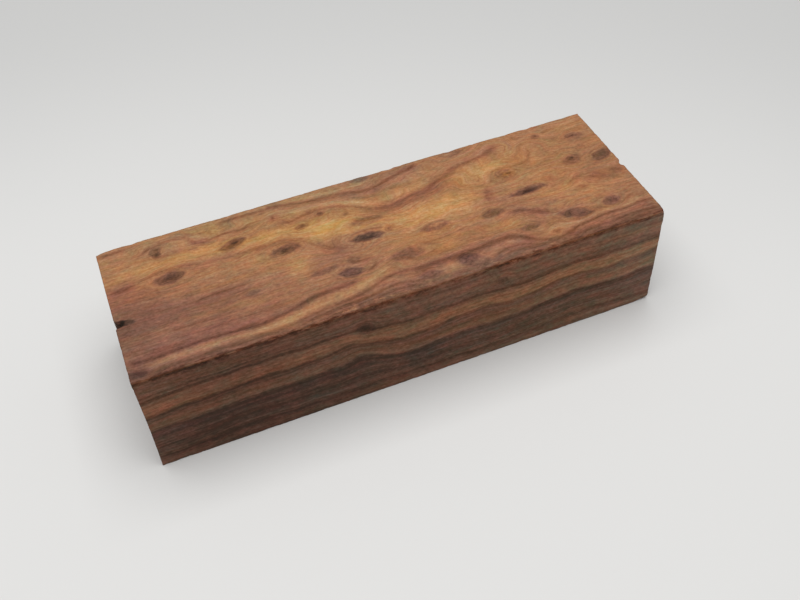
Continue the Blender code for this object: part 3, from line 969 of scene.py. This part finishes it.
FRAYED_SPOTS = Noise(0.45, 0.9, 5.0, 0.75, (4, 4, 8), distortion=0.4)

# How far the streaks carry the growth layers up and down.
LAYER_WANDER = 0.7

# On the top, growth lines follow the level lines of a noise: how many, and how dark.
LEVEL_LINES = 14
LEVEL_DARK = 0.06

# The rings of a knot: how far inside its reach each lies, and how much lighter it is.
KNOT_RINGS = ((1.12, -0.28), (0.74, 0.15), (0.42, -0.16))
RING_WOBBLE = 0.35
LINE_HALF = 0.16
HEART_SPAN = (0.9, 1.5)
HEART_SPECKLE = 0.7

# Along the torn arris, ragged spots are darker and redder than the wood, and frayed fibres leave pale
# spots.
TORN_SPAN = (0.42, 0.56)
TORN_DARK, TORN_PLUM, TORN_RUST = 0.32, -0.40, 0.55
TORN_AROUND_DARK = 0.04
FRAYED_SPAN = (0.46, 0.66)
FRAYED_LIGHT = 0.25

# How much the broad and the fine figure shift the hue.
BROAD_PLUM = 0.50
FINE_PLUM = 1.5
FINE_RUST = -0.45

# The sheen of the wood, and the depth and the shares of its finest relief.
ROUGHNESS, STREAK_ROUGHNESS = 0.52, 0.20
SPECULAR = 0.15
BUMP_STRENGTH = 0.5
BUMP_DEPTH_MM = 0.06
SPECKLE_BUMP, STROKE_BUMP, TORN_BUMP = 0.8, 0.5, -2.0


class Wood(Graph):
    """The shader of the wood."""

    def __init__(self, material):
        super().__init__(material)
        self.side = self.attribute("banded")
        self.grain = self.attribute("grain", "Vector")
        self.place = self.stretch(self.object_place(), (1 / MM, 1 / MM, 1 / MM))
        self.broad = self.noise(BROAD, self.grain)
        self.streaks = self.noise(STREAKS, self.grain)
        self.speckle = self.noise(SPECKLE, self.place)
        self.strokes = self.noise(STROKES, self.attribute("saw", "Vector"))
        self.fine = self.fine_figure()
        self.layer = self.plus(self.attribute("layer"), self.centred(self.streaks), LAYER_WANDER)
        torn_spots = self.span(self.noise(TORN_SPOTS, self.place), *TORN_SPAN)
        self.torn = self.times(self.attribute("torn"), torn_spots)

    def add_noise(self, value, noise, kind):
        """Adds a noise, as strongly as its kind works on the top or on a side."""
        strength = self.plus(kind.top, self.side, kind.side - kind.top)
        return self.plus(value, self.centred(noise), strength)

    def fine_figure(self):
        """Fibres, thin lines, pores and the saw's strokes."""
        fine = self.add_noise(0.0, self.streaks, STREAKS)
        fine = self.add_noise(fine, self.noise(LINES, self.grain), LINES)
        fine = self.add_noise(fine, self.speckle, SPECKLE)
        return self.add_noise(fine, self.strokes, STROKES)

    def with_growth_lines(self, tone):
        """On the top the growth lines wander and close into loops."""
        levels = self.times(self.noise(LEVELS, self.grain), LEVEL_LINES)
        away = self.math("PINGPONG", levels, 0.5)
        faint = self.plus(-LEVEL_DARK, self.side, LEVEL_DARK)
        return self.plus(tone, self.span(away, 0.0, LINE_HALF, 1.0, 0.0), faint)

    def with_knot_rings(self, tone):
        """A knot has thin rings, dark and pale, and a speckled heart."""
        spots = self.centred(self.speckle)
        rim = self.attribute("rim")
        inside = self.plus(self.attribute("knot"), spots, RING_WOBBLE)
        for at, light in KNOT_RINGS:
            away = self.math("ABSOLUTE", self.math("SUBTRACT", inside, at))
            tone = self.plus(tone, self.span(away, 0.0, LINE_HALF, light, 0.0), rim)
        heart = self.times(rim, self.span(inside, *HEART_SPAN, 0.0, HEART_SPECKLE))
        return self.plus(tone, spots, heart)

    def with_torn_arris(self, tone):
        """Ragged spots along the torn arris are darker, and fibres that the saw frayed look pale."""
        tone = self.plus(tone, self.torn, -TORN_DARK)
        tone = self.plus(tone, self.attribute("torn"), -TORN_AROUND_DARK)
        frayed_spots = self.span(self.noise(FRAYED_SPOTS, self.place), *FRAYED_SPAN)
        return self.plus(tone, self.times(self.attribute("frayed"), frayed_spots), FRAYED_LIGHT)

    def tone(self):
        """On a side, each growth layer has its own tone."""
        bands = self.curve(self.layer, [(height, PERCENT * tone) for height, tone in FRONT_BANDS])
        tone = self.plus(self.attribute("tone"), bands, self.side)
        tone = self.add_noise(tone, self.broad, BROAD)
        tone = self.add_noise(tone, self.noise(MOTTLE, self.grain), MOTTLE)
        tone = self.with_growth_lines(self.plus(tone, self.fine))
        return self.with_torn_arris(self.with_knot_rings(tone))

    def layer_hue(self, column):
        """The plum (1) or the rust (2) of the growth layers, on a side."""
        points = [(hue[0], PERCENT * hue[column] + 0.5) for hue in FRONT_HUES]
        return self.times(self.side, self.centred(self.curve(self.layer, points)))

    def hue(self):
        """Plum wood is bluer and rust wood redder, and both wander a little."""
        plum = self.plus(self.attribute("plum"), self.centred(self.broad), BROAD_PLUM)
        plum = self.add_noise(plum, self.noise(PLUMMY, self.grain), PLUMMY)
        plum = self.plus(self.plus(plum, self.layer_hue(1)), self.fine, FINE_PLUM)
        plum = self.plus(plum, self.torn, TORN_PLUM)
        rust = self.add_noise(self.attribute("rust"), self.noise(RUSTY, self.grain), RUSTY)
        rust = self.plus(self.plus(rust, self.layer_hue(2)), self.fine, FINE_RUST)
        rust = self.plus(rust, self.torn, TORN_RUST)
        hue = {"Red": self.plus(1.0, rust), "Green": 1.0, "Blue": self.plus(1.0, plum)}
        return self.add("CombineColor", hue)[0]

    def relief(self):
        height = self.plus(self.streaks, self.speckle, SPECKLE_BUMP)
        height = self.plus(height, self.times(self.side, self.strokes), STROKE_BUMP)
        height = self.plus(height, self.torn, TORN_BUMP)
        bump = {"Strength": BUMP_STRENGTH, "Distance": BUMP_DEPTH_MM * MM, "Height": height}
        return self.add("Bump", bump)["Normal"]


def wood_material():
    material = bpy.data.materials.new("ironwood_figure")
    wood = Wood(material)
    colour = wood.blend(1.0, wood.ramp(wood.tone(), WOOD_TONES), wood.hue(), "MULTIPLY")
    roughness = wood.plus(ROUGHNESS, wood.streaks, STREAK_ROUGHNESS)
    wood.fill(wood.shader, {"Base Color": colour, "Roughness": roughness,
                            "Specular IOR Level": SPECULAR, "Normal": wood.relief()})
    return material


# Painted shade: the floor's colour darkens away from the light, standing in for its falloff. Its middle,
# and where the fade runs, in m.
FLOOR_COLOUR = (0.614, 0.612, 0.604, 1.0)
FLOOR_PAINTED_SHADE_COLOUR = (0.520, 0.520, 0.515, 1.0)
FLOOR_MIDDLE = (-0.13, -0.26, 0.0)
FLOOR_FADE = (0.31, 0.49)
FLOOR_SIZE = 40.0

# One large light hangs above the block, in a softly lit room.
LIGHT_PLACE_MM = (-50, -40, 800)
LIGHT_SIZE_MM = 900
LIGHT_POWER = 8.25
ROOM_COLOUR = (1.0, 0.995, 0.985, 1.0)
ROOM_STRENGTH = 0.35


def floor_with_painted_shade():
    bpy.ops.mesh.primitive_plane_add(size=FLOOR_SIZE, location=(0, 0, 0))
    floor = bpy.context.object
    floor.name = "floor"
    material = bpy.data.materials.new("floor_with_painted_shade")
    g = Graph(material)
    # Painted shade: the floor turns to the darker colour away from FLOOR_MIDDLE.
    far = g.span(g.distance(g.object_place(), FLOOR_MIDDLE), *FLOOR_FADE)
    g.fill(g.shader, {"Base Color": g.blend(far, FLOOR_COLOUR, FLOOR_PAINTED_SHADE_COLOUR),
                      "Roughness": 0.9, "Specular IOR Level": 0.1})
    floor.data.materials.append(material)


def overhead_light():
    light = bpy.data.lights.new("overhead", "AREA")
    light.shape = "RECTANGLE"
    light.size = light.size_y = LIGHT_SIZE_MM * MM
    light.energy = LIGHT_POWER
    add_object("overhead", light).location = Vector(LIGHT_PLACE_MM) * MM


def soft_room():
    world = bpy.data.worlds.new("soft_room")
    world.use_nodes = True
    background = world.node_tree.nodes["Background"]
    background.inputs["Color"].default_value = ROOM_COLOUR
    background.inputs["Strength"].default_value = ROOM_STRENGTH
    bpy.context.scene.world = world
    bpy.context.scene.view_settings.view_transform = "Standard"


def camera():
    data = bpy.data.cameras.new("camera")
    data.lens = CAMERA_LENS_MM
    data.sensor_width = CAMERA_SENSOR_MM
    data.clip_start = 0.01
    item = add_object("camera", data)
    item.location = Vector(CAMERA_PLACE_MM) * MM
    turn = Euler((math.radians(CAMERA_TILT), 0, math.radians(CAMERA_HEADING))).to_matrix()
    roll = Euler((0, 0, math.radians(CAMERA_ROLL))).to_matrix()
    item.rotation_euler = (turn @ roll).to_euler()
    bpy.context.scene.camera = item


def main():
    camera()
    floor_with_painted_shade()
    overhead_light()
    soft_room()
    block = make_block()
    block.data.materials.append(wood_material())
    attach(block, "root")
    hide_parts(NODE)


main()
